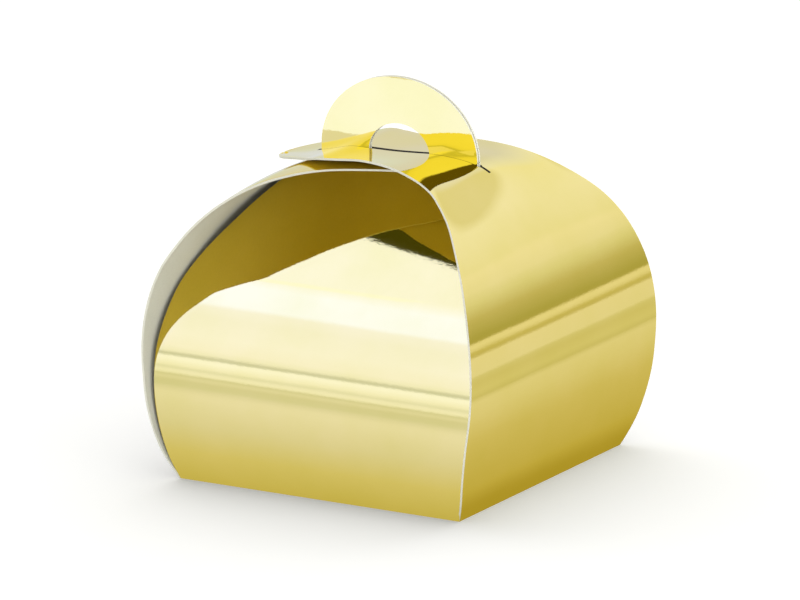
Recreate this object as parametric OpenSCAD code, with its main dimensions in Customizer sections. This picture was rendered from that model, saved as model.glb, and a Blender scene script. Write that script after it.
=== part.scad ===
// Favor box folded from one sheet of gold metallised board.
// Four petals stand on the creases of a square base. The front and back petals
// carry the two handle halves, and the left and right petals close over them.
// Millimetres, +Z up, origin at the centre of the base's underside.
// The front petal faces -Y, and the right petal lies outermost.

/* [Board and base] */
// Side of the square base, crease to crease
base_side = 60; // [48:0.5:80]
// Thickness of the board
board_t = 0.4; // [0.3:0.05:0.5]

/* [Bends of the left and right petals] */
// Angle of every petal above the table at its base crease
crease_angle = 63.8; // [60:0.2:68]
// Outer radius of the bend just above the crease
foot_r = 35.4; // [32:0.2:40]
// Turn of the bend just above the crease
foot_angle = 11.8; // [10:0.2:14]
// Outer radius of the belly of the petal
belly_r = 93; // [84:1:104]
// Turn of the belly
belly_angle = 9.1; // [8:0.1:11]
// Outer radius between belly and shoulder
waist_r = 44.6; // [40:0.2:50]
// Turn between belly and shoulder
waist_angle = 28.3; // [26:0.1:31]
// Outer radius of the right petal's shoulder
shoulder_r = 28.2; // [26:0.2:31]
// Turn of the part of the shoulder that stays with the wall
shoulder_angle = 26; // [24:0.5:32]

/* [Tongues of the left and right petals] */
// Half width of each tongue
tongue_half_w = 11.4; // [9:0.2:13]
// Distance from the middle of the box to a tongue's tip
tongue_reach = 23.7; // [22.5:0.1:26]
// Concave radius where a tongue widens into its wall
tongue_blend_r = 36; // [28:1:44]
// Outer radius of the right tongue's drooping tip
tip_r = 60; // [50:1:80]
// Distance past the middle at which the right tongue starts to droop
droop_start = 6.2; // [5:0.1:8]

/* [Front and back petals] */
// Outer radius of the lower bend of the front and back petals
inner_low_r = 33; // [30:0.2:36]
// Turn of that lower bend
inner_low_angle = 30; // [26:0.5:34]
// Outer radius of the upper bend, which leans inward to the roof
inner_high_r = 30.6; // [28:0.2:33]
// Half width of a roof where it leaves the bend
roof_half_w = 32.1; // [30:0.1:33]

/* [Handle] */
// Outer radius of the half-round handle
handle_r = 16.8; // [15:0.2:18]
// Height of the half round's centre above the crease
handle_rise = 0.9; // [0.5:0.1:1.5]
// Radius of the finger hole's round top
finger_r = 6.5; // [5.8:0.1:7.5]
// Height of that round top's centre above the crease
finger_rise = 2.3; // [1.8:0.1:3]
// Board left between the finger hole and the crease
finger_sill = 1; // [0.6:0.1:1.4]

/* [Fits] */
// Gap between two layers of board that lie on each other
layer_gap = 0.3; // [0.2:0.05:0.4]
// Gap between the side edges of the front and back petals and the petals beside them
side_gap = 0.6; // [0.4:0.05:0.8]
// Gap between the two handle halves
handle_gap = 0.3; // [0.2:0.05:0.4]
// Free width of a slot on each side of the handle
slot_side_gap = 0.45; // [0.3:0.05:0.6]
// Spare length of a slot on the left of the handle
slot_left_gap = 0.8; // [0.5:0.1:1.2]
// Spare length of a slot on the right of the handle
slot_right_gap = 2; // [1:0.1:2.5]
// Setback of a wall's side edge from the mitre line at the corner of the box
mitre_setback = 0.4; // [0.2:0.05:0.8]

/* [Hidden] */

$fn = 96;
overrun = 5;
angle_step = 3;
gold = [0.86, 0.74, 0.38];
base_half = base_side / 2;
mitre_angle = (180 - crease_angle) / 2;
corner_angle = 45;

// A bend is [outer radius, turn, length], and a flat run has radius and turn zero.
function angle_at(bends, i) = i == 0 ? crease_angle : angle_at(bends, i - 1) + bends[i - 1][1];
function out_dir(a) = [sin(a), -cos(a)];
function run_dir(a) = [cos(a), sin(a)];
function bend_step(bends, i) = bends[i][0] > 0
    ? bends[i][0] * (out_dir(angle_at(bends, i + 1)) - out_dir(angle_at(bends, i)))
    : bends[i][2] * run_dir(angle_at(bends, i));
function start_of(bends, i) = i == 0 ? [base_half, 0] : start_of(bends, i - 1) + bend_step(bends, i - 1);
function centre_of(bends, i) = start_of(bends, i) - bends[i][0] * out_dir(angle_at(bends, i));

// Point a share of the way along one bend, at a depth below its outer face.
function bend_point(bends, i, share, depth) = bends[i][0] > 0
    ? centre_of(bends, i) + (bends[i][0] - depth) * out_dir(angle_at(bends, i) + bends[i][1] * share)
    : start_of(bends, i) + share * bend_step(bends, i) - depth * out_dir(angle_at(bends, i));
function bend_steps(bend) = bend[0] > 0 ? ceil(bend[1] / angle_step) : 1;
function edge_points(bends, first, last, depth) = concat(
    [bend_point(bends, first, 0, depth)],
    [
        for (i = [first:last])
            for (k = [1:bend_steps(bends[i])])
                bend_point(bends, i, k / bend_steps(bends[i]), depth)
    ]
);
function backwards(points) = [for (i = [len(points) - 1:-1:0]) points[i]];
function flipped(points) = [for (p = points) [-p.x, p.y]];

// The wall's first three bends are the same on the left and right petals.
wall_bends = [[foot_r, foot_angle, 0], [belly_r, belly_angle, 0], [waist_r, waist_angle, 0]];
waist_end = start_of(wall_bends, len(wall_bends));
waist_end_angle = angle_at(wall_bends, len(wall_bends));
shoulder_lift_share = 1 + cos(waist_end_angle);
crown_angle = 180 - waist_end_angle - shoulder_angle;
WALL_TOP = len(wall_bends) + 1;

// Right petal: level over the middle, then a tip that droops over the left petal.
crown_top = waist_end.y + shoulder_r * shoulder_lift_share;
right_centre = waist_end - shoulder_r * out_dir(waist_end_angle);
droop_angle = asin((tongue_reach + overrun - droop_start) / tip_r);
right_bends = concat(wall_bends, [
    [shoulder_r, shoulder_angle, 0],
    [shoulder_r, crown_angle, 0],
    [0, 0, right_centre.x + droop_start],
    [tip_r, droop_angle, 0]
]);

// Left petal: one board and one gap lower, its tongue tucked under the right shoulder.
left_top = crown_top - board_t - layer_gap;
left_r = (left_top - waist_end.y) / shoulder_lift_share;
left_centre = waist_end - left_r * out_dir(waist_end_angle);
tuck_r = shoulder_r - board_t - layer_gap;
tuck_angle = asin((tongue_reach + board_t - right_centre.x) / tuck_r);
left_bends = concat(wall_bends, [
    [left_r, shoulder_angle, 0],
    [left_r, crown_angle, 0],
    [0, 0, left_centre.x + right_centre.x],
    [tuck_r, tuck_angle, 0]
]);

// Front and back petals: two bends, then a flat roof that rises inward to the crease
// at the foot of the handle. The crest stays under both tongues at the handle's ends.
function under_arc(c, r) = c.y + sqrt(pow(r - board_t, 2) - pow(handle_r + layer_gap - c.x, 2));
crest_z = min(under_arc(right_centre, tuck_r), under_arc(left_centre, left_r)) - layer_gap;
crease_y = handle_gap / 2 + board_t;
crest = [crease_y, crest_z];
low_bends = [[inner_low_r, inner_low_angle, 0]];
high_start_angle = angle_at(low_bends, 1);
high_centre = start_of(low_bends, 1) - inner_high_r * out_dir(high_start_angle);
crest_reach = norm(crest - high_centre);
crest_bearing = atan2(crest_z - high_centre.y, crease_y - high_centre.x);
roof_angle = 90 + crest_bearing - acos(inner_high_r / crest_reach);
roof_run = sqrt(pow(crest_reach, 2) - pow(inner_high_r, 2));
inner_bends = concat(low_bends, [
    [inner_high_r, roof_angle - high_start_angle, 0],
    [0, 0, roof_run + board_t]
]);
ROOF = len(inner_bends) - 1;
roof_start = start_of(inner_bends, ROOF);
taper = (roof_half_w - handle_r) / (crest_z - roof_start.y);
handle_mitre_dir = run_dir((roof_angle - 90) / 2);

slot_w = handle_gap + 2 * board_t + 2 * slot_side_gap;
slot_left = handle_r + slot_left_gap;
slot_right = handle_r + slot_right_gap;
handle_top = crest_z + handle_rise + handle_r;
sheet_w = 2 * (base_side + overrun);

// The bent sheet of a petal that stands on the +X crease, from one bend to another.
module bent_sheet(bends, first, last) {
    rotate([90, 0, 0])
        linear_extrude(height = sheet_w, center = true)
            polygon(concat(
                edge_points(bends, first, last, 0),
                backwards(edge_points(bends, first, last, board_t))
            ));
}

// What the base's mitred edge takes from the foot of a wall.
module crease_cut() {
    rotate([90, 0, 0])
        linear_extrude(height = sheet_w, center = true)
            polygon([
                [base_half, 0],
                [base_half - overrun / tan(mitre_angle), overrun],
                [0, 0]
            ]);
}

// Half of the plan of a left or right petal: round tip, straight tongue, concave
// blend, and the wall's edge on the 45 degree mitre line.
function plan_edge() =
    let (
        tip_centre = [tongue_half_w - tongue_reach, 0],
        run = tongue_blend_r * tan(corner_angle / 2),
        blend_centre = [tongue_half_w + mitre_setback - run, tongue_half_w + tongue_blend_r],
        far = base_side + overrun
    )
    concat(
        [for (a = [180:-2 * angle_step:90]) tip_centre + tongue_half_w * run_dir(a)],
        [for (a = [-90:angle_step:-corner_angle]) blend_centre + tongue_blend_r * run_dir(a)],
        [[far, far - mitre_setback]]
    );
function across(points) = [for (p = points) [p.x, -p.y]];

module outer_plan() {
    edge = plan_edge();
    polygon(concat(edge, across(backwards(edge))));
}

module outer_petal(bends, first, last) {
    intersection() {
        difference() {
            bent_sheet(bends, first, last);
            if (first == 0) crease_cut();
        }
        linear_extrude(height = handle_top)
            outer_plan();
    }
}

// The long slot that the handle comes up through, in the tongue's own plan.
module handle_slot() {
    translate([-slot_left, -slot_w / 2, crest_z - overrun])
        cube([slot_left + slot_right, slot_w, handle_top]);
}

// Space between the left and right petals, seen from the front, less a fit gap.
module inside_section(inset) {
    edge = edge_points(right_bends, 0, WALL_TOP, inset);
    foot = [[edge[0].x, 0]];
    polygon(concat(foot, edge, flipped(backwards(edge)), flipped(foot)));
}

// Face of a front or back petal, seen square on: it fills that space up to its roof,
// whose side edges run in to the foot of the handle.
module inner_face() {
    roof_edge = [
        [handle_r + taper * crest_z, 0],
        [handle_r, crest_z],
        [handle_r, handle_top]
    ];
    intersection() {
        inside_section(board_t + side_gap);
        polygon(concat(roof_edge, flipped(backwards(roof_edge))));
    }
}

module inner_petal(first, last) {
    intersection() {
        difference() {
            bent_sheet(inner_bends, first, last);
            if (first == 0) crease_cut();
            handle_mitre();
        }
        rotate([90, 0, 90])
            linear_extrude(height = sheet_w)
                inner_face();
    }
}

// What the handle's mitred foot takes from the end of a roof.
module handle_mitre() {
    rotate([90, 0, 0])
        linear_extrude(height = sheet_w, center = true)
            polygon([
                crest + overrun * handle_mitre_dir,
                crest - overrun * handle_mitre_dir,
                crest + [-overrun, overrun]
            ]);
}

// One handle half, drawn for the petal on the +X crease.
module handle_half() {
    difference() {
        translate([crease_y - board_t, 0, crest_z])
            rotate([90, 0, 90])
                linear_extrude(height = board_t)
                    difference() {
                        handle_face();
                        finger_face();
                    }
        rotate([90, 0, 0])
            linear_extrude(height = sheet_w, center = true)
                polygon([
                    crest + overrun * handle_mitre_dir,
                    crest - overrun * handle_mitre_dir,
                    crest + [overrun, -overrun]
                ]);
    }
}

module handle_face() {
    translate([-handle_r, -board_t])
        square([2 * handle_r, board_t + handle_rise]);
    intersection() {
        translate([0, handle_rise])
            circle(r = handle_r);
        translate([-handle_r, handle_rise])
            square([2 * handle_r, handle_r]);
    }
}

module finger_face() {
    intersection() {
        translate([0, finger_rise])
            circle(r = finger_r);
        translate([-finger_r, finger_rise])
            square([2 * finger_r, finger_r]);
    }
    translate([-finger_r, finger_sill])
        square([2 * finger_r, finger_rise - finger_sill]);
}

module base_prism() {
    rotate([90, 0, 0])
        linear_extrude(height = base_side, center = true)
            polygon([
                [-base_half, 0],
                [base_half, 0],
                [base_half - board_t / tan(mitre_angle), board_t],
                [board_t / tan(mitre_angle) - base_half, board_t]
            ]);
}

module base_panel() {
    color(gold)
        intersection() {
            base_prism();
            rotate([0, 0, 90])
                base_prism();
        }
}

module right_wall() {
    color(gold)
        outer_petal(right_bends, 0, WALL_TOP - 1);
}

module right_tongue() {
    color(gold)
        difference() {
            outer_petal(right_bends, WALL_TOP, len(right_bends) - 1);
            handle_slot();
        }
}

module left_wall() {
    color(gold)
        mirror([1, 0, 0])
            outer_petal(left_bends, 0, WALL_TOP - 1);
}

module left_tongue() {
    color(gold)
        difference() {
            mirror([1, 0, 0])
                outer_petal(left_bends, WALL_TOP, len(left_bends) - 1);
            handle_slot();
        }
}

module front_wall() {
    color(gold)
        rotate([0, 0, -90])
            inner_petal(0, ROOF - 1);
}

module front_roof() {
    color(gold)
        rotate([0, 0, -90])
            inner_petal(ROOF, ROOF);
}

module front_handle() {
    color(gold)
        rotate([0, 0, -90])
            handle_half();
}

module back_wall() {
    color(gold)
        rotate([0, 0, 90])
            inner_petal(0, ROOF - 1);
}

module back_roof() {
    color(gold)
        rotate([0, 0, 90])
            inner_petal(ROOF, ROOF);
}

module back_handle() {
    color(gold)
        rotate([0, 0, 90])
            handle_half();
}

base_panel();
right_wall();
right_tongue();
left_wall();
left_tongue();
front_wall();
front_roof();
front_handle();
back_wall();
back_roof();
back_handle();
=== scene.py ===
import math

import bpy
import numpy as np
from mathutils import Matrix, Vector


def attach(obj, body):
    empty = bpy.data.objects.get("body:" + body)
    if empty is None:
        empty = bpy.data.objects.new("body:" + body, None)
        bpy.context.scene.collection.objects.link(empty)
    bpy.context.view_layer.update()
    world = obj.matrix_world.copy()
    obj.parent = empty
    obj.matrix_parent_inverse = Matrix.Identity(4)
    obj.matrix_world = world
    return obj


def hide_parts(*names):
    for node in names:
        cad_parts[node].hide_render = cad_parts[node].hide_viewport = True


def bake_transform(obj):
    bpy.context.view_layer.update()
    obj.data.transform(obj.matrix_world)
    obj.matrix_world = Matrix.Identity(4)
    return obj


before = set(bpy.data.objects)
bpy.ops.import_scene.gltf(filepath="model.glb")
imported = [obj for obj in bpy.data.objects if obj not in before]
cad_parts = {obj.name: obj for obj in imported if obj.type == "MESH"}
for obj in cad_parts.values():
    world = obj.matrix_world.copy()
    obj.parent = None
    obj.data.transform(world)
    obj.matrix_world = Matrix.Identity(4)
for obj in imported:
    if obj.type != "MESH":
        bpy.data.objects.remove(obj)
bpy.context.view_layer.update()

MM = 0.001
ROUNDING = 1e-9

# The folded blank, as in the CAD source, in millimetres and degrees. A bend is (radius, turn, length): an
# arc where it has a radius, and a straight run of that length where the radius is 0.
BASE_SIDE = 60.0
BASE_HALF = BASE_SIDE / 2
BOARD = 0.4
LAYER_GAP = 0.3
HANDLE_GAP = 0.3
CREASE_Y = HANDLE_GAP / 2 + BOARD
CREST_Z = 56.193
CREASE_ANGLE = 63.8
WALL_BENDS = [(35.4, 11.8, 0.0), (93.0, 9.1, 0.0), (44.6, 28.3, 0.0)]
WALL_TURN = sum((turn for _, turn, _ in WALL_BENDS), CREASE_ANGLE)
SHOULDER_TURN = 26.0
CROWN_TURN = 180.0 - WALL_TURN - SHOULDER_TURN
SHOULDER_R = 28.2
INNER_LOW = (33.0, 30.0, 0.0)
INNER_HIGH_R = 30.6

# The tongues, their slots and the handle, as the photo shows them. The CAD's own are a little plainer.
RIGHT_REACH = 24.9
RIGHT_ROUND = 27.3
LEFT_REACH = 20.0
LEFT_ROUND = 12.0
TUCK_TURN = 60.0
SLOT_HALF = 0.62
SLOT_THIN_HALF = 0.36
SLOT_THIN_LENGTH = 2.0
SLOT_NEAR = 19.4
SLOT_FAR = 17.4
HANDLE_X = 0.3
HANDLE_R = 16.7
HANDLE_FLAT = 14.5
HANDLE_Z = 59.42
HOLE_R = 6.5
HOLE_FLAT = 5.65
HOLE_SILL = 1.0
INNER_LEFT_TRIM = 0.3

# Where the noise is read on the blank. The outer petals lie in the middle, the base on one side of them,
# and the inner petals with their handles above them on the other.
BLANK_SHIFT = 2 * BASE_SIDE
HANDLE_BLANK_LIFT = 1.5 * BASE_SIDE

# How finely the sheets are drawn, in millimetres and in points across. The last rows before a tongue's tip
# are closer together, the tip keeps a little width, and the grid lines beside the slot draw together where
# the tongue's half width is under NARROW_HALF.
TRACE_LENGTH = 140.0
TRACE_POINTS = 7001
ROW_STEP = 0.4
TIP_STEP = 0.08
TIP_ROWS_FROM = 1.2
TIP_ROWS_TO = 0.02
ROUND_LIMIT_SHARE = 0.9999
NARROW_HALF = 8.0
HALF_COLUMNS = 34
INNER_COLUMNS = 67
BASE_POINTS = 31
ARC_POINTS = 97
FOOT_POINTS = 61
RING_COLUMNS = 9

# Half widths of the petals, as (length along the petal, half width).
OUTER_WIDTH = [
    (0, 30.0), (7.35, 33.2), (14.7, 34.7), (22.0, 34.6), (29.4, 34.2), (36.7, 33.1),
    (44.1, 30.8), (51.4, 27.3), (58.8, 22.4), (66.1, 18.1),
]
RIGHT_WIDTH = OUTER_WIDTH + [
    (73.5, 14.3), (79.8, 12.8), (84.8, 11.9), (88.8, 13.3), (92.8, 14.7), (96.8, 13.6),
    (100.8, 11.7), (104.8, 12.2), (108, 13.4), (120, 13.4),
]
LEFT_WIDTH = OUTER_WIDTH + [
    (73.5, 14.2), (78.0, 12.9), (82.0, 11.8), (84.6, 10.9), (86.7, 10.3), (88.8, 9.7),
    (91.9, 8.7), (97, 7.5), (104, 6.6), (120, 6.0),
]
INNER_WIDTH = [
    (0, 30.0), (4.1, 31.2), (8.4, 32.15), (12.4, 32.9), (16.7, 33.5), (20.9, 33.85), (25.2, 34.05),
    (28.8, 33.95), (32.8, 33.6), (39.6, 32.8), (46, 31.3), (54.7, 27.9), (62.6, 24.0), (66.5, 21.3),
    (70.4, 17.3),
]

# How the real board strays from the plain bends above a petal's widest place. x is the distance from the
# middle on the petal's own side. SAG moves the middle line and DIP the whole width, as (x, mm up). CURL
# moves the front edge, as (x, mm up, mm forward), and starts at a share of the half width.
RIGHT_SAG = [
    (-26, -0.2), (-16.8, -0.3), (0, -0.4), (10, 0.3), (19.4, 1.4), (25, 0.7), (31, 0.0), (37, 0.0),
]
RIGHT_DIP = [
    (-26, -3.9), (-22, -3.0), (-18, -2.15), (-14, -1.15), (-10, -0.12), (-6, 0), (0, 0), (37, 0),
]
RIGHT_CURL = [
    (-26, 0, 0), (-9, 0.1, 0), (-5, 0.24, 0), (0, 0.43, 0.1), (2, 0.62, 0.45), (4, 0.72, 0.85),
    (6, 0.7, 1.15), (8, 0.62, 1.25), (10, 0.58, 1.25), (12, 0.52, 0.85), (14, 0.45, 0.2),
    (16, 0.38, -0.36), (18, 0.3, -0.68), (20, 0.2, -0.58), (22, 0.13, -0.51), (24, 0.07, -0.44),
    (26, 0, -0.31), (30, 0, 0), (37, 0, 0),
]
LEFT_SAG = [(-24, -0.4), (-16.8, -0.4), (0, -0.4), (16.8, -0.45), (24, -0.2), (31, 0.0), (37, 0.0)]
LEFT_DIP = [(-24, 0), (37, 0)]
LEFT_CURL = [
    (-24, -0.5, 0), (-3, -0.5, 0), (1, -0.62, 0), (3, -0.7, 0.1), (6, -0.86, 0.5), (9, -1.1, 0.9),
    (12, -1.25, 0.9), (15, -1.3, 0.7), (18, -1.2, 0.65), (21, -1.12, 0.46), (24, -1.03, 0.28),
    (27, -0.93, 0.01), (29, -0.81, -0.21), (31, -0.5, -0.37), (32.5, -0.12, 0.11), (34, 0, 0.2),
    (37, 0, 0),
]
STRAY_FADE = 10.0
CURL_START_SHARE = 0.35

# Colours of the materials, the spans of noise over which they change, and their bumps in metres.
BLACK = (0, 0, 0)
WHITE = (1, 1, 1)
TONE_SPAN = (0.3, 0.7)
BOARD_SPAN = (0.25, 0.75)
FILM_DEEP = (0.845, 0.68, 0.112)
FILM_PALE = (0.875, 0.70, 0.128)
FILM_EDGE_TINT = (1.0, 0.93, 0.5)
FILM_ROUGHNESS = 0.012
FILM_SCUFF = 0.03
FILM_STREAK = 0.25
FILM_WAVE = 0.022 * MM
FILM_GRAIN = 0.0022 * MM
BOARD_DARK = (0.78, 0.775, 0.69)
BOARD_PALE = (0.885, 0.88, 0.80)
BOARD_ROUGHNESS = 0.85
FIBRE_SHARE = 0.55
FIBRE_HEIGHT = 0.03 * MM
FIBRE_STRENGTH = 0.6
# Painted shade: the cut edge inside a slot is coloured dark to stand for the shadow in the narrow slot.
SLOT_SHADE_DARK = (0.035, 0.03, 0.012)
SLOT_SHADE_PALE = (0.10, 0.085, 0.035)
SLOT_SHADE_ROUGHNESS = 0.6
NOISE_SHIFT_SHARES = (1.0, 0.7, 1.0)


def node(tree, kind, **values):
    made = tree.nodes.new(kind)
    for key, value in values.items():
        setattr(made, key, value)
    return made


def feed(tree, value, socket):
    """Links an output to a socket, or sets a number or a colour on it."""
    if isinstance(value, bpy.types.NodeSocket):
        tree.links.new(value, socket)
    elif isinstance(value, tuple):
        socket.default_value = (*value, 1)
    else:
        socket.default_value = value


def math_node(tree, operation, *values, clamp=False):
    made = node(tree, "ShaderNodeMath", operation=operation, use_clamp=clamp)
    for value, socket in zip(values, made.inputs):
        feed(tree, value, socket)
    return made.outputs[0]


def mix_colour(tree, a, b, factor, blend_type="MIX"):
    made = node(tree, "ShaderNodeMix", data_type="RGBA", blend_type=blend_type)
    feed(tree, factor, made.inputs["Factor"])
    feed(tree, a, made.inputs["A"])
    feed(tree, b, made.inputs["B"])
    return made.outputs["Result"]


def ramp_node(tree, factor, stops):
    """A colour ramp through stops of (place from 0 to 1, colour)."""
    made = node(tree, "ShaderNodeValToRGB")
    elements = made.color_ramp.elements
    while len(elements) > 1:
        elements.remove(elements[-1])
    elements[0].position = stops[0][0]
    elements[0].color = (*stops[0][1], 1)
    for place, colour in stops[1:]:
        elements.new(place).color = (*colour, 1)
    feed(tree, factor, made.inputs[0])
    return made.outputs[0]


def fade_node(tree, factor, span, before, after):
    """A colour that goes from one to the other over a span of the factor."""
    return ramp_node(tree, factor, [(span[0], before), (span[1], after)])


def noise_on_blank(tree, scale, stretch=(1.0, 1.0), detail=2.0, roughness=0.5, seed=0.0):
    """Noise in the blank's own coordinates, so that it moves with the board."""
    uv = node(tree, "ShaderNodeUVMap", uv_map="blank")
    place = node(tree, "ShaderNodeMapping")
    place.inputs["Scale"].default_value = (*stretch, 1)
    place.inputs["Location"].default_value = tuple(seed * share for share in NOISE_SHIFT_SHARES)
    made = node(tree, "ShaderNodeTexNoise")
    made.inputs["Scale"].default_value = scale
    made.inputs["Detail"].default_value = detail
    made.inputs["Roughness"].default_value = roughness
    tree.links.new(uv.outputs[0], place.inputs["Vector"])
    tree.links.new(place.outputs[0], made.inputs["Vector"])
    return made.outputs["Fac"]


def bump_node(tree, height, distance, strength=1.0, under=None):
    """A bump as high as distance, on top of the one under it."""
    made = node(tree, "ShaderNodeBump")
    made.inputs["Strength"].default_value = strength
    made.inputs["Distance"].default_value = distance
    tree.links.new(height, made.inputs["Height"])
    if under is not None:
        tree.links.new(under, made.inputs["Normal"])
    return made.outputs[0]


def principled(name):
    made = bpy.data.materials.new(name)
    made.use_nodes = True
    shader = next(n for n in made.node_tree.nodes if n.type == "BSDF_PRINCIPLED")
    return made, made.node_tree, shader


def film_material():
    """Gold film: a mirror with fine streaks and scuffs, that waves very little."""
    material, tree, shader = principled("gold_film")
    shader.inputs["Metallic"].default_value = 1.0
    shader.inputs["Specular Tint"].default_value = (*FILM_EDGE_TINT, 1)
    tone = noise_on_blank(tree, scale=5, detail=3)
    feed(tree, fade_node(tree, tone, TONE_SPAN, FILM_DEEP, FILM_PALE), shader.inputs["Base Color"])
    scuff = noise_on_blank(tree, scale=70, stretch=(1.0, 5.0), detail=4, roughness=0.6, seed=3.0)
    rough = math_node(tree, "MULTIPLY_ADD", scuff, FILM_SCUFF, FILM_ROUGHNESS)
    feed(tree, rough, shader.inputs["Roughness"])
    wave = noise_on_blank(tree, scale=2.2, stretch=(0.6, 2.2), detail=3, roughness=0.55, seed=1.0)
    grain = noise_on_blank(tree, scale=60, stretch=(1.0, 1.6), detail=3, roughness=0.6, seed=5.0)
    streak = noise_on_blank(tree, scale=130, stretch=(0.12, 1.0), seed=9.0)
    fine = math_node(tree, "MULTIPLY_ADD", streak, FILM_STREAK, grain)
    waved = bump_node(tree, wave, FILM_WAVE)
    feed(tree, bump_node(tree, fine, FILM_GRAIN, under=waved), shader.inputs["Normal"])
    return material


def fibre_noise(tree, seed):
    return noise_on_blank(tree, scale=90, stretch=(1.0, 2.5), detail=4, roughness=0.65, seed=seed)


def board_material():
    """Bare board: grey-white, matt, with short fibres."""
    material, tree, shader = principled("grey_board")
    shader.inputs["Roughness"].default_value = BOARD_ROUGHNESS
    shader.inputs["Specular IOR Level"].default_value = 0.0
    fibre = fibre_noise(tree, seed=2.0)
    cloud = noise_on_blank(tree, scale=6, seed=7.0)
    cloud = math_node(tree, "MULTIPLY", cloud, 1 - FIBRE_SHARE)
    mixed = math_node(tree, "MULTIPLY_ADD", fibre, FIBRE_SHARE, cloud)
    feed(tree, fade_node(tree, mixed, BOARD_SPAN, BOARD_DARK, BOARD_PALE), shader.inputs["Base Color"])
    feed(tree, bump_node(tree, fibre, FIBRE_HEIGHT, FIBRE_STRENGTH), shader.inputs["Normal"])
    return material


def slot_shade_material():
    """The cut edge inside a slot, painted dark: painted shade that stands for the shadow in the narrow
    slot.
    """
    material, tree, shader = principled("painted_slot_shade")
    shader.inputs["Roughness"].default_value = SLOT_SHADE_ROUGHNESS
    fibre = fibre_noise(tree, seed=4.0)
    colour = fade_node(tree, fibre, TONE_SPAN, SLOT_SHADE_DARK, SLOT_SHADE_PALE)
    feed(tree, colour, shader.inputs["Base Color"])
    return material


# Places of the three materials on a sheet.
FILM, BARE, SLOT_SHADE = range(3)
gold_film = film_material()
grey_board = board_material()
painted_slot_shade = slot_shade_material()


def out_dir(angle):
    """Where the outside of a bend looks, for a line that runs at this angle."""
    return np.stack([np.sin(angle), -np.cos(angle)], -1)


def trace(bends, s):
    """Outer line of a petal at arc lengths s: x away from the middle, height, and tangent angle."""
    s = np.asarray(s, float)
    found = np.zeros((len(s), 3))
    point = np.array([BASE_HALF, 0.0])
    angle = math.radians(CREASE_ANGLE)
    run = 0.0
    for k, (radius, turn, length) in enumerate(bends):
        turn = math.radians(turn)
        span = radius * turn if radius > 0 else length
        here = (s >= run - ROUNDING) & ((s <= run + span) | (k == len(bends) - 1))
        past = s[here] - run
        if radius > 0:
            angles = angle + past / radius
            found[here, :2] = point + radius * (out_dir(angles) - out_dir(angle))
            found[here, 2] = angles
            point = point + radius * (out_dir(angle + turn) - out_dir(angle))
            angle += turn
        else:
            along = np.array([math.cos(angle), math.sin(angle)])
            found[here, :2] = point + past[:, None] * along
            found[here, 2] = angle
            point = point + length * along
        run += span
    return found


def through(stations, at):
    """A smooth curve through (place, value) stations."""
    x, y = np.array(stations, float).T
    slope = np.gradient(y, x)
    k = np.clip(np.searchsorted(x, at, side="right") - 1, 0, len(x) - 2)
    gap = x[k + 1] - x[k]
    t = np.clip((at - x[k]) / gap, 0, 1)
    start = (1 + 2 * t) * (1 - t) ** 2 * y[k] + t * (1 - t) ** 2 * gap * slope[k]
    return start + t * t * (3 - 2 * t) * y[k + 1] + t * t * (t - 1) * gap * slope[k + 1]


def length_at(bends, x_wanted):
    """Arc length at which a petal's outer line comes back to x_wanted, past its widest place."""
    s = np.linspace(0, TRACE_LENGTH, TRACE_POINTS)
    x = trace(bends, s)[:, 0]
    widest = int(np.argmax(x))
    return float(np.interp(-x_wanted, -x[widest:], s[widest:]))


def rows_between(*stops, step=ROW_STEP):
    """Rows from stop to stop, evenly spaced and at most a step apart."""
    rows = [stops[0]]
    for a, b in zip(stops, stops[1:]):
        count = max(1, math.ceil((b - a) / step))
        rows += [a + (b - a) * i / count for i in range(1, count + 1)]
    return np.array(rows)


def cells_of(keep, turn_over):
    """Corners of each kept cell of a grid, wound so that the cell's outer face looks outwards."""
    cols = keep.shape[1] + 1
    for i, j in np.argwhere(keep).tolist():
        a = i * cols + j
        b, c, d = a + 1, a + cols + 1, a + cols
        yield (a, d, c, b) if turn_over else (a, b, c, d)


def rim_of(cells):
    """Edges that only one cell has, in that cell's winding."""
    single = {}
    for cell in cells:
        for edge in zip(cell, cell[1:] + cell[:1]):
            key = tuple(sorted(edge))
            if single.pop(key, None) is None:
                single[key] = edge
    return list(single.values())


def corners_of(cut):
    """The grid points that a cut cell touches."""
    touched = np.zeros((cut.shape[0] + 1, cut.shape[1] + 1), bool)
    for rows in (slice(None, -1), slice(1, None)):
        for cols in (slice(None, -1), slice(1, None)):
            touched[rows, cols] |= cut
    return touched


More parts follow.
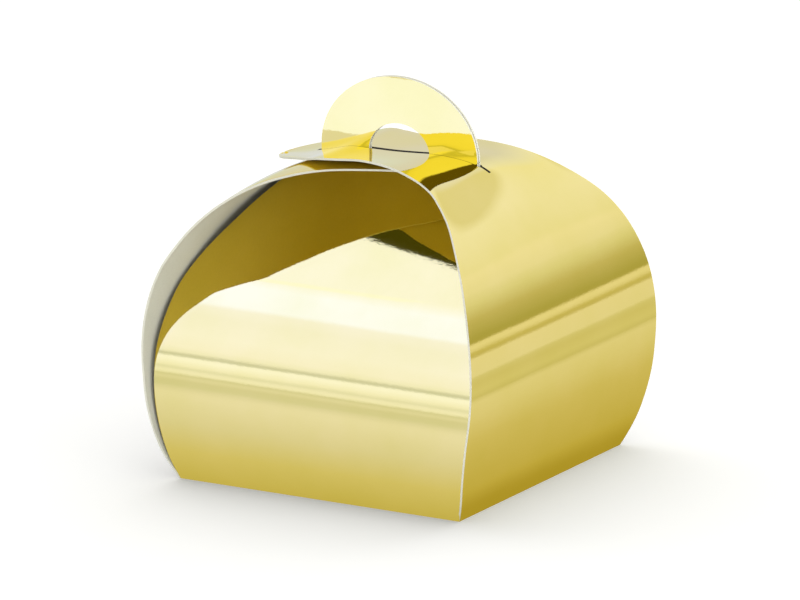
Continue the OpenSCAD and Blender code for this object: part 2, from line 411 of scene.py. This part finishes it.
def sheet(name, points, flat, turn_over=False, cut=None):
    """A board sheet from a grid of points on its outer face, in millimetres: film outside, bare board
    inside and on its cut edges. flat holds each point's place on the unfolded blank, and cut marks the
    grid cells of a slot, whose cut edges carry painted shade for the shadow in the slot."""
    if cut is None:
        cut = np.zeros((points.shape[0] - 1, points.shape[1] - 1), bool)
    normal = np.cross(np.gradient(points, axis=1), np.gradient(points, axis=0))
    normal /= np.linalg.norm(normal, axis=2)[:, :, None]
    if turn_over:
        normal = -normal
    inner = points - BOARD * normal
    verts = np.concatenate([points.reshape(-1, 3), inner.reshape(-1, 3)]) * MM
    below = points.shape[0] * points.shape[1]
    cells = list(cells_of(~cut, turn_over))
    rim = rim_of(cells)
    in_slot = corners_of(cut).ravel()
    faces, kinds = [], []
    for cell in cells:
        faces += [cell, tuple(below + v for v in reversed(cell))]
        kinds += [FILM, BARE]
    for a, b in rim:
        faces.append((b, a, below + a, below + b))
        # A cut edge inside the slot gets the painted slot shade.
        kinds.append(SLOT_SHADE if in_slot[a] and in_slot[b] else BARE)
    used = sorted({v for face in faces for v in face})
    place = {v: k for k, v in enumerate(used)}
    mesh = bpy.data.meshes.new(name)
    mesh.from_pydata(verts[used].tolist(), [], [[place[v] for v in face] for face in faces])
    mesh.polygons.foreach_set("material_index", kinds)
    mesh.polygons.foreach_set("use_smooth", [True] * len(faces))
    uv = np.concatenate([flat.reshape(-1, 2)] * 2)[used] / BASE_SIDE
    corners = np.zeros(len(mesh.loops), int)
    mesh.loops.foreach_get("vertex_index", corners)
    mesh.uv_layers.new(name="blank").data.foreach_set("uv", uv[corners].ravel())
    sharp = {tuple(sorted((place[a + k], place[b + k]))) for a, b in rim for k in (0, below)}
    mesh.edges.foreach_set("use_edge_sharp", [tuple(sorted(e.vertices)) in sharp for e in mesh.edges])
    mesh.update()
    mesh.validate()
    piece = bpy.data.objects.new(name, mesh)
    bpy.context.scene.collection.objects.link(piece)
    for material in (gold_film, grey_board, painted_slot_shade)[:max(kinds) + 1]:
        piece.data.materials.append(material)
    return piece


# Petal lines, as in the CAD source.
wall_length = sum(radius * math.radians(turn) for radius, turn, _ in WALL_BENDS)
waist = trace(WALL_BENDS, [wall_length])[0]
lift_share = 1 + math.cos(math.radians(WALL_TURN))
crown_top = waist[1] + SHOULDER_R * lift_share
right_centre = waist[:2] - SHOULDER_R * out_dir(waist[2])
left_r = (crown_top - BOARD - LAYER_GAP - waist[1]) / lift_share
left_centre = waist[:2] - left_r * out_dir(waist[2])
tuck_r = SHOULDER_R - BOARD - LAYER_GAP
right_bends = WALL_BENDS + [
    (SHOULDER_R, SHOULDER_TURN, 0.0),
    (SHOULDER_R, CROWN_TURN, 0.0),
    (0.0, 0.0, right_centre[0] + BASE_HALF),
]
left_bends = WALL_BENDS + [
    (left_r, SHOULDER_TURN, 0.0),
    (left_r, CROWN_TURN, 0.0),
    (0.0, 0.0, left_centre[0] + right_centre[0]),
    (tuck_r, TUCK_TURN, 0.0),
]
low_start = math.radians(CREASE_ANGLE)
high_start = math.radians(CREASE_ANGLE + INNER_LOW[1])
low_end = np.array([BASE_HALF, 0.0]) + INNER_LOW[0] * (out_dir(high_start) - out_dir(low_start))
high_centre = low_end - INNER_HIGH_R * out_dir(high_start)
to_crest = np.array([CREASE_Y, CREST_Z]) - high_centre
crest_reach = float(np.hypot(*to_crest))
crest_bearing = math.atan2(to_crest[1], to_crest[0])
roof_angle = math.pi / 2 + crest_bearing - math.acos(INNER_HIGH_R / crest_reach)
inner_bends = [
    INNER_LOW,
    (INNER_HIGH_R, math.degrees(roof_angle - high_start), 0.0),
    (0.0, 0.0, math.sqrt(crest_reach**2 - INNER_HIGH_R**2)),
]


def outer_petal(name, side, bends, widths, reach, round_end, sag, dip, curl):
    """A left or right petal with its tongue, in one sheet. side is -1 at the left, reach is how far the
    tongue goes past the middle, and round_end is the length of its round tip."""
    tip = length_at(bends, -reach)
    near = length_at(bends, SLOT_NEAR)
    far = length_at(bends, -SLOT_FAR)
    s = np.concatenate([
        rows_between(0.0, near, far, tip - TIP_ROWS_FROM),
        rows_between(tip - TIP_ROWS_FROM, tip - TIP_ROWS_TO, step=TIP_STEP)[1:],
    ])
    x, height, _ = trace(bends, s).T
    round_share = np.clip((s - (tip - round_end)) / round_end, 0, ROUND_LIMIT_SHARE)
    half = through(widths, s) * np.sqrt(1 - round_share**2)
    slot = np.where(s < near + SLOT_THIN_LENGTH, SLOT_THIN_HALF, SLOT_HALF)
    slot = np.minimum(slot, slot * half / NARROW_HALF)
    across = slot[:, None] + (half - slot)[:, None] * np.linspace(0, 1, HALF_COLUMNS)
    y = np.concatenate([-across[:, ::-1], across], axis=1)
    share = np.clip(np.abs(y) / half[:, None], 0, 1)
    above = np.clip((s - s[np.argmax(x)]) / STRAY_FADE + 0.5, 0, 1)
    sagged = (above * through(sag, x))[:, None] * (1 - share**2) ** 2
    dipped = (above * through(dip, x))[:, None]
    curled = np.clip((share - CURL_START_SHARE) / (1 - CURL_START_SHARE), 0, 1) ** 2
    curled = above[:, None] * np.where(y < 0, curled, 0)
    up = through([(at, up) for at, up, _ in curl], x)[:, None]
    forward = through([(at, forward) for at, _, forward in curl], x)[:, None]
    z = height[:, None] + sagged + dipped + curled * up
    y = y - curled * forward
    cut = np.zeros((y.shape[0] - 1, y.shape[1] - 1), bool)
    cut[(s[:-1] >= near - ROUNDING) & (s[1:] <= far + ROUNDING), HALF_COLUMNS - 1] = True
    points = np.stack([side * np.broadcast_to(x[:, None], y.shape), y, z], -1)
    flat = np.stack([y, np.broadcast_to(s[:, None], y.shape)], -1)
    return sheet(name, points, flat, turn_over=side < 0, cut=cut)


def inner_petal(name, side):
    """A front or back petal up to the crease of its handle half. side is -1 at the front."""
    s = rows_between(0.0, length_at(inner_bends, CREASE_Y))
    reach, height, _ = trace(inner_bends, s).T
    share = np.linspace(-1, 1, INNER_COLUMNS)
    across = through(INNER_WIDTH, s)[:, None] * share + INNER_LEFT_TRIM * np.clip(-share, 0, 1)
    reach, height, length = (np.broadcast_to(v[:, None], across.shape) for v in (reach, height, s))
    points = np.stack([across, side * reach, height], -1)
    flat = np.stack([across + BLANK_SHIFT, length], -1)
    return sheet(name, points, flat, turn_over=side > 0)


def handle_half(name, side):
    """A flat half-round handle with its finger hole, standing up from its crease. side is -1 at the front.
    The grid runs once round the hole, and the corners at the crease and the sill are among its angles."""
    foot = HANDLE_Z - CREST_Z
    sill = foot - HOLE_SILL
    corner = math.atan2(foot, HANDLE_R)
    hole_corner = math.atan2(sill, HOLE_R)
    angles = np.linspace(0, math.pi, ARC_POINTS).tolist()
    angles += [math.pi + corner, 2 * math.pi - corner, math.pi + hole_corner, 2 * math.pi - hole_corner]
    angles += np.linspace(math.pi, 2 * math.pi, FOOT_POINTS)[1:].tolist()
    angles = np.array(sorted({round(angle, 9) for angle in angles}))
    across, up = np.cos(angles), np.sin(angles)

    def reach(half_width, height, depth):
        """Distance from the middle to an outline: half an ellipse above, and straight sides below."""
        upper = 1 / np.sqrt((across / half_width) ** 2 + (up / height) ** 2)
        beside = half_width / np.maximum(np.abs(across), ROUNDING)
        under = depth / np.maximum(-up, ROUNDING)
        return np.where(up >= -ROUNDING, upper, np.minimum(beside, under))

    to_hole = np.linspace(0, 1, RING_COLUMNS)
    outer = reach(HANDLE_R, HANDLE_FLAT, foot)[:, None] * (1 - to_hole)
    r = outer + reach(HOLE_R, HOLE_FLAT, sill)[:, None] * to_hole
    x = HANDLE_X + r * across[:, None]
    z = HANDLE_Z + r * up[:, None]
    points = np.stack([x, np.full_like(x, side * CREASE_Y), z], -1)
    flat = np.stack([x + BLANK_SHIFT, z + HANDLE_BLANK_LIFT], -1)
    return sheet(name, points, flat, turn_over=side < 0)


def base_panel(name):
    places = np.linspace(-BASE_HALF, BASE_HALF, BASE_POINTS)
    x, y = np.meshgrid(places, places, indexing="ij")
    points = np.stack([x, y, np.zeros_like(x)], -1)
    flat = np.stack([x - BLANK_SHIFT, y], -1)
    return sheet(name, points, flat)


right_petal = outer_petal(
    "right_petal_sheet", 1, right_bends, RIGHT_WIDTH, RIGHT_REACH, RIGHT_ROUND,
    RIGHT_SAG, RIGHT_DIP, RIGHT_CURL)
left_petal = outer_petal(
    "left_petal_sheet", -1, left_bends, LEFT_WIDTH, LEFT_REACH, LEFT_ROUND,
    LEFT_SAG, LEFT_DIP, LEFT_CURL)
front_petal = inner_petal("front_petal_sheet", -1)
back_petal = inner_petal("back_petal_sheet", 1)
front_handle = handle_half("front_handle_sheet", -1)
back_handle = handle_half("back_handle_sheet", 1)
base = base_panel("base_sheet")

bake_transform(right_petal)
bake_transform(left_petal)
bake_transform(front_petal)
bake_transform(back_petal)
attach(front_handle, "front_grip")
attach(back_handle, "back_grip")
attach(base, "base")
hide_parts("right_wall", "right_tongue")
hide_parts("left_wall", "left_tongue")
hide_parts("front_wall", "front_roof")
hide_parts("back_wall", "back_roof")
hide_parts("front_handle")
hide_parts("back_handle")
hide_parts("base_panel")

# The studio's floor, in metres, and two small cards, in millimetres, with their tones.
FLOOR_HALF = 3
FLOOR_GLOW = 0.2
FLOOR_ROUGHNESS = 0.9
FLOOR_WHITE = (0.90, 0.90, 0.90)
FLOOR_UNDER_MIRRORED_BOARD = (0.27, 0.22, 0.03)
ROOF_FLAG = [(-43.5, -19.4, 115.7), (-10.7, -23.9, 112.7), (-10.6, -16.7, 118.4), (-43.4, -12.2, 121.5)]
ROOF_FLAG_TONE = (0.06, 0.062, 0.01)
HANDLE_CARD = [(-36, -25.5, 54.5), (4, -25.5, 54.5), (4, -25.5, 66.5), (-36, -25.5, 66.5)]
HANDLE_CARD_TONE = (1.16, 1.386, 4.95)


def stage_plane(name, corners):
    mesh = bpy.data.meshes.new(name)
    mesh.from_pydata(corners, [], [tuple(range(len(corners)))])
    plane = bpy.data.objects.new(name, mesh)
    bpy.context.scene.collection.objects.link(plane)
    return plane


def studio_floor():
    """Plain and pale, it keeps the soft shadow, and only the camera sees its glow. The film mirrors the
    world instead of it. The board that is seen in the film gets a dim golden light from it."""
    half = FLOOR_HALF
    floor = stage_plane("floor", [(-half, -half, 0), (half, -half, 0), (half, half, 0), (-half, half, 0)])
    floor.visible_glossy = False
    material, tree, shader = principled("floor_white")
    shader.inputs["Roughness"].default_value = FLOOR_ROUGHNESS
    shader.inputs["Specular IOR Level"].default_value = 0.0
    shader.inputs["Emission Color"].default_value = (*WHITE, 1)
    path = node(tree, "ShaderNodeLightPath").outputs
    glow = math_node(tree, "MULTIPLY", path["Is Camera Ray"], FLOOR_GLOW)
    feed(tree, glow, shader.inputs["Emission Strength"])
    in_mirror = math_node(tree, "MULTIPLY", path["Is Diffuse Ray"], path["Glossy Depth"], clamp=True)
    tone = fade_node(tree, in_mirror, TONE_SPAN, FLOOR_WHITE, FLOOR_UNDER_MIRRORED_BOARD)
    feed(tree, tone, shader.inputs["Base Color"])
    floor.data.materials.append(material)


def studio_card(name, corners, tone):
    """A small card of the studio, which only the film mirrors."""
    card = stage_plane(name, [tuple(v * MM for v in corner) for corner in corners])
    card.visible_camera = False
    card.visible_diffuse = False
    card.visible_shadow = False
    card.visible_transmission = False
    material, tree, shader = principled(name)
    shader.inputs["Base Color"].default_value = (*BLACK, 1)
    shader.inputs["Specular IOR Level"].default_value = 0.0
    shader.inputs["Emission Color"].default_value = (*tone, 1)
    shader.inputs["Emission Strength"].default_value = 1.0
    card.data.materials.append(material)


# What the film mirrors, as (elevation in degrees, colour in units of plain white).
FRONT_BANDS = [
    (-60, (0.6, 0.57, 0.48)), (-52, (0.67, 0.65, 0.65)), (-40, (0.75, 0.75, 1)),
    (-24, (0.83, 0.89, 2.07)), (-9, (0.93, 1.02, 2.72)), (-6.5, (0.93, 1.02, 2.72)),
    (-4, (0.86, 0.95, 2.46)), (-2, (0.78, 0.88, 2.07)), (0.8, (0.78, 0.87, 2.04)),
    (2.5, (0.87, 0.97, 2.45)), (4.2, (0.79, 0.89, 2.14)), (5.3, (1.03, 1.17, 3.4)),
    (6.8, (1.03, 1.17, 3.57)), (8.2, (0.89, 1.03, 2.98)), (10, (1.06, 1.21, 3.74)),
    (13.6, (1.15, 1.34, 4.76)), (15, (1.12, 1.31, 4.59)), (15.7, (0.72, 0.85, 2.55)),
    (16.8, (0.76, 0.89, 2.72)), (18, (1.04, 1.2, 3.91)), (21, (1.11, 1.27, 4.59)),
    (29, (1.13, 1.31, 5.1)), (40, (1.1, 1.28, 4.93)), (45.5, (1.11, 1.3, 5.27)),
    (47.5, (1.16, 1.43, 6.8)), (57, (1.16, 1.43, 6.8)), (60, (1.14, 1.35, 5.27)), (62, (1.08, 1.25, 4.08)),
]
BACK_BANDS = [
    (-60, (0.34, 0.3, 0.09)), (-32, (0.48, 0.42, 0.2)), (-29, (0.6, 0.55, 0.43)),
    (-23.4, (0.71, 0.69, 0.93)), (-20.5, (0.81, 0.83, 1.55)), (-17.1, (0.85, 0.88, 1.77)),
    (-16.4, (0.68, 0.7, 1.05)), (-15, (0.76, 0.79, 1.27)), (-12.6, (0.73, 0.75, 1.16)),
    (-11.3, (0.75, 0.78, 1.3)), (-10.7, (0.88, 0.92, 1.98)), (-6.2, (0.9, 0.93, 1.98)),
    (-5.6, (0.64, 0.63, 0.78)), (-4.9, (0.66, 0.65, 0.74)), (-3.9, (0.91, 0.94, 1.83)),
    (-2.7, (0.9, 0.92, 1.74)), (-2.1, (0.49, 0.49, 0.43)), (-1.2, (0.48, 0.49, 0.42)),
    (3.4, (0.63, 0.63, 0.81)), (7.2, (0.82, 0.88, 1.63)), (10, (0.93, 0.99, 2.2)),
    (15.8, (0.99, 1.05, 2.43)), (18, (0.96, 1.03, 2.28)), (30, (1.03, 1.12, 3)),
    (33, (0.87, 0.92, 1.95)), (60, (0.87, 0.92, 1.95)),
]
LEFT_BACK_BANDS = [
    (-40, (0.60, 0.62, 0.8)), (-13, (0.74, 0.78, 0.85)), (-6, (0.76, 0.86, 1.35)),
    (4, (0.76, 0.90, 2.0)), (14, (0.78, 0.885, 3.3)), (40, (0.86, 0.96, 3.8)),
]
# What the film throws on the floor and the board is dim at low angles, except from the right. Board that
# is itself seen in the film lies in the hollow under the top, dark in front and golden at the sides.
THROWN_BANDS = [
    (-60, (0.03, 0.04, 0.2)), (-10, (0.05, 0.06, 0.3)), (20, (0.08, 0.10, 0.45)),
    (45, (0.16, 0.20, 0.95)), (70, (0.42, 0.52, 2.5)), (90, (0.62, 0.77, 3.7)),
]
THROWN_RIGHT_BANDS = [
    (-60, (0.03, 0.04, 0.2)), (-8, (0.12, 0.14, 0.5)), (15, (0.9, 1.08, 4.0)),
    (45, (1.0, 1.2, 4.4)), (70, (0.5, 0.62, 3.0)),
]
HOLLOW_DEEP = (0.03, 0.025, 0.005)
HOLLOW_OPEN = (2.3, 2.0, 0.25)
# The sky that lights the floor and the board.
BACK_SKY = [
    (0, (1.45, 1.45, 1.36)), (12.6, (1.22, 1.22, 1.17)), (30.6, (1.08, 1.08, 1.08)),
    (54, (1.86, 1.86, 1.86)), (90, (1.3, 1.3, 1.3)),
]
FRONT_SKY = [
    (0, (1.55, 1.52, 1.36)), (12.6, (1.26, 1.24, 1.13)), (28.8, (0.42, 0.42, 0.4)),
    (57.6, (0.42, 0.42, 0.4)), (90, (1.3, 1.3, 1.26)),
]
RIGHT_SKY = [
    (0, (3.0, 2.94, 2.58)), (12.6, (2.2, 2.15, 1.93)), (28.8, (0.55, 0.55, 0.5)),
    (57.6, (0.45, 0.45, 0.42)), (90, (1.3, 1.3, 1.26)),
]
# Where each of these holds, as (heading in degrees, share). 0 is the front and 90 the right.
BACK_BANDS_SHARE = [(-180, 1), (-175, 1), (-158, 0), (60, 0), (110, 1), (180, 1)]
LEFT_BACK_BANDS_SHARE = [(-180, 0), (-175, 0), (-158, 1), (-140, 1), (-115, 0), (180, 0)]
THROWN_RIGHT_SHARE = [(-180, 0), (15, 0), (45, 1), (100, 1), (130, 0), (180, 0)]
HOLLOW_OPEN_SHARE = [
    (-180, 0), (-130, 0), (-85, 1), (-40, 0.6), (0, 0.1), (45, 0.3), (110, 0.36), (140, 0), (180, 0),
]
FRONT_SKY_SHARE = [(-180, 0), (-100, 0), (-45, 1), (110, 1), (150, 0), (180, 0)]
RIGHT_SKY_SHARE = [(-180, 0), (25, 0), (60, 1), (125, 1), (150, 0), (180, 0)]
# The left light ends in a straight edge, past which the studio is dark high up at the front. The edge's
# line is in shares of a direction's x and z, and the dark comes in over each of the three spans.
LIGHT_EDGE_X_SHARE = 0.6822
LIGHT_EDGE_Z_SHARE = 0.3896
LIGHT_EDGE_OFFSET = 0.1
LIGHT_EDGE_SPAN = (0.074, 0.092)
HIGH_SPAN = (0.25, 0.40)
AHEAD_SPAN = (0.55, 0.68)
PAST_EDGE_TONE = (0.13, 0.12, 0.06)
SECOND_MIRROR_TINT = (1.1, 1.12, 0.55)
STUDIO_STRENGTH = 7.0
SKY_STRENGTH = 1.0


def in_studio(tone):
    """A colour in units of plain white, as the studio's background needs it."""
    return tuple(v / STUDIO_STRENGTH for v in tone)


def height_ramp(tree, height, bands, strength=STUDIO_STRENGTH):
    """A colour by elevation, for a background of this strength."""
    stops = [((elevation + 90) / 180, tuple(v / strength for v in tone)) for elevation, tone in bands]
    return ramp_node(tree, height, stops)


def heading_ramp(tree, heading, shares):
    return ramp_node(tree, heading, [((angle + 180) / 360, (share,) * 3) for angle, share in shares])


def past_edge(tree, x, y, z):
    """1 where the studio is dark, high up at the front and past the edge of the left light."""
    past = math_node(tree, "MULTIPLY_ADD", x, LIGHT_EDGE_X_SHARE, LIGHT_EDGE_OFFSET)
    past = math_node(tree, "MULTIPLY_ADD", z, LIGHT_EDGE_Z_SHARE, past)
    past = fade_node(tree, past, LIGHT_EDGE_SPAN, BLACK, WHITE)
    high = fade_node(tree, z, HIGH_SPAN, BLACK, WHITE)
    ahead = fade_node(tree, math_node(tree, "MULTIPLY", y, -1.0), AHEAD_SPAN, BLACK, WHITE)
    return math_node(tree, "MULTIPLY", math_node(tree, "MULTIPLY", past, high), ahead)


def background(tree, colour, strength):
    made = node(tree, "ShaderNodeBackground")
    feed(tree, colour, made.inputs["Color"])
    made.inputs["Strength"].default_value = strength
    return made.outputs[0]


def studio_world():
    """White to the camera, a soft sky to the floor and the board, and a banded studio to the film."""
    world = bpy.data.worlds.new("studio")
    bpy.context.scene.world = world
    world.use_nodes = True
    tree = world.node_tree
    tree.nodes.clear()
    path = node(tree, "ShaderNodeLightPath").outputs
    split = node(tree, "ShaderNodeSeparateXYZ")
    feed(tree, node(tree, "ShaderNodeTexCoord").outputs["Generated"], split.inputs[0])
    x, y, z = split.outputs
    height = math_node(tree, "MULTIPLY_ADD", math_node(tree, "ARCSINE", z), 1 / math.pi, 0.5)
    heading = math_node(tree, "ARCTAN2", x, math_node(tree, "MULTIPLY", y, -1.0))
    heading = math_node(tree, "MULTIPLY_ADD", heading, 0.5 / math.pi, 0.5)

    def share(shares):
        return heading_ramp(tree, heading, shares)

    bands = height_ramp(tree, height, FRONT_BANDS)
    bands = mix_colour(tree, bands, height_ramp(tree, height, BACK_BANDS), share(BACK_BANDS_SHARE))
    left_back = height_ramp(tree, height, LEFT_BACK_BANDS)
    bands = mix_colour(tree, bands, left_back, share(LEFT_BACK_BANDS_SHARE))
    bands = mix_colour(tree, bands, in_studio(PAST_EDGE_TONE), past_edge(tree, x, y, z))
    mirrored_twice = math_node(tree, "GREATER_THAN", path["Glossy Depth"], 1.5)
    second = mix_colour(tree, bands, SECOND_MIRROR_TINT, 1.0, "MULTIPLY")
    bands = mix_colour(tree, bands, second, mirrored_twice)

    thrown = height_ramp(tree, height, THROWN_BANDS)
    thrown_right = height_ramp(tree, height, THROWN_RIGHT_BANDS)
    thrown = mix_colour(tree, thrown, thrown_right, share(THROWN_RIGHT_SHARE))
    hollow = in_studio(HOLLOW_DEEP), in_studio(HOLLOW_OPEN)
    hollow = mix_colour(tree, *hollow, share(HOLLOW_OPEN_SHARE))
    thrown = mix_colour(tree, thrown, hollow, mirrored_twice)
    off_board = math_node(tree, "GREATER_THAN", path["Diffuse Depth"], 0.5)
    studio = background(tree, mix_colour(tree, bands, thrown, off_board), STUDIO_STRENGTH)

    sky, front_sky, right_sky = (
        height_ramp(tree, height, stops, SKY_STRENGTH) for stops in (BACK_SKY, FRONT_SKY, RIGHT_SKY))
    sky = mix_colour(tree, sky, front_sky, share(FRONT_SKY_SHARE))
    sky = mix_colour(tree, sky, right_sky, share(RIGHT_SKY_SHARE))
    plain = background(tree, mix_colour(tree, sky, WHITE, path["Is Camera Ray"]), SKY_STRENGTH)

    pick = node(tree, "ShaderNodeMixShader")
    for value, socket in zip((path["Is Glossy Ray"], plain, studio), pick.inputs):
        feed(tree, value, socket)
    out = node(tree, "ShaderNodeOutputWorld")
    feed(tree, pick.outputs[0], out.inputs[0])


studio_floor()
studio_card("roof_flag", ROOF_FLAG, ROOF_FLAG_TONE)
studio_card("handle_card", HANDLE_CARD, HANDLE_CARD_TONE)
studio_world()

# Camera: a long lens, as fitted to the photograph, in degrees and metres.
CAMERA_AZIMUTH = 30.43013
CAMERA_ELEVATION = 15.00756
CAMERA_ROLL = -0.28328
CAMERA_DISTANCE = 2.32331
CAMERA_TARGET_Z = 0.031111
CAMERA_LENS = 563.06
CAMERA_SENSOR = 36
CAMERA_SEES_FROM = 0.1
CAMERA_SEES_TO = 20


def fitted_camera():
    azimuth, elevation, roll = map(math.radians, (CAMERA_AZIMUTH, CAMERA_ELEVATION, CAMERA_ROLL))
    level = math.cos(elevation)
    backward = Vector((math.sin(azimuth) * level, -math.cos(azimuth) * level, math.sin(elevation)))
    rightward = (-backward).cross(Vector((0, 0, 1))).normalized()
    upward = rightward.cross(-backward)
    x_axis = rightward * math.cos(roll) + upward * math.sin(roll)
    y_axis = -rightward * math.sin(roll) + upward * math.cos(roll)
    place = Matrix.Translation(Vector((0, 0, CAMERA_TARGET_Z)) + backward * CAMERA_DISTANCE)
    camera = bpy.data.objects.new("camera", bpy.data.cameras.new("camera"))
    bpy.context.scene.collection.objects.link(camera)
    camera.matrix_world = place @ Matrix((x_axis, y_axis, backward)).transposed().to_4x4()
    camera.data.sensor_width = CAMERA_SENSOR
    camera.data.lens = CAMERA_LENS
    camera.data.clip_start = CAMERA_SEES_FROM
    camera.data.clip_end = CAMERA_SEES_TO
    return camera


bpy.context.scene.camera = fitted_camera()
bpy.context.scene.view_settings.view_transform = "Standard"
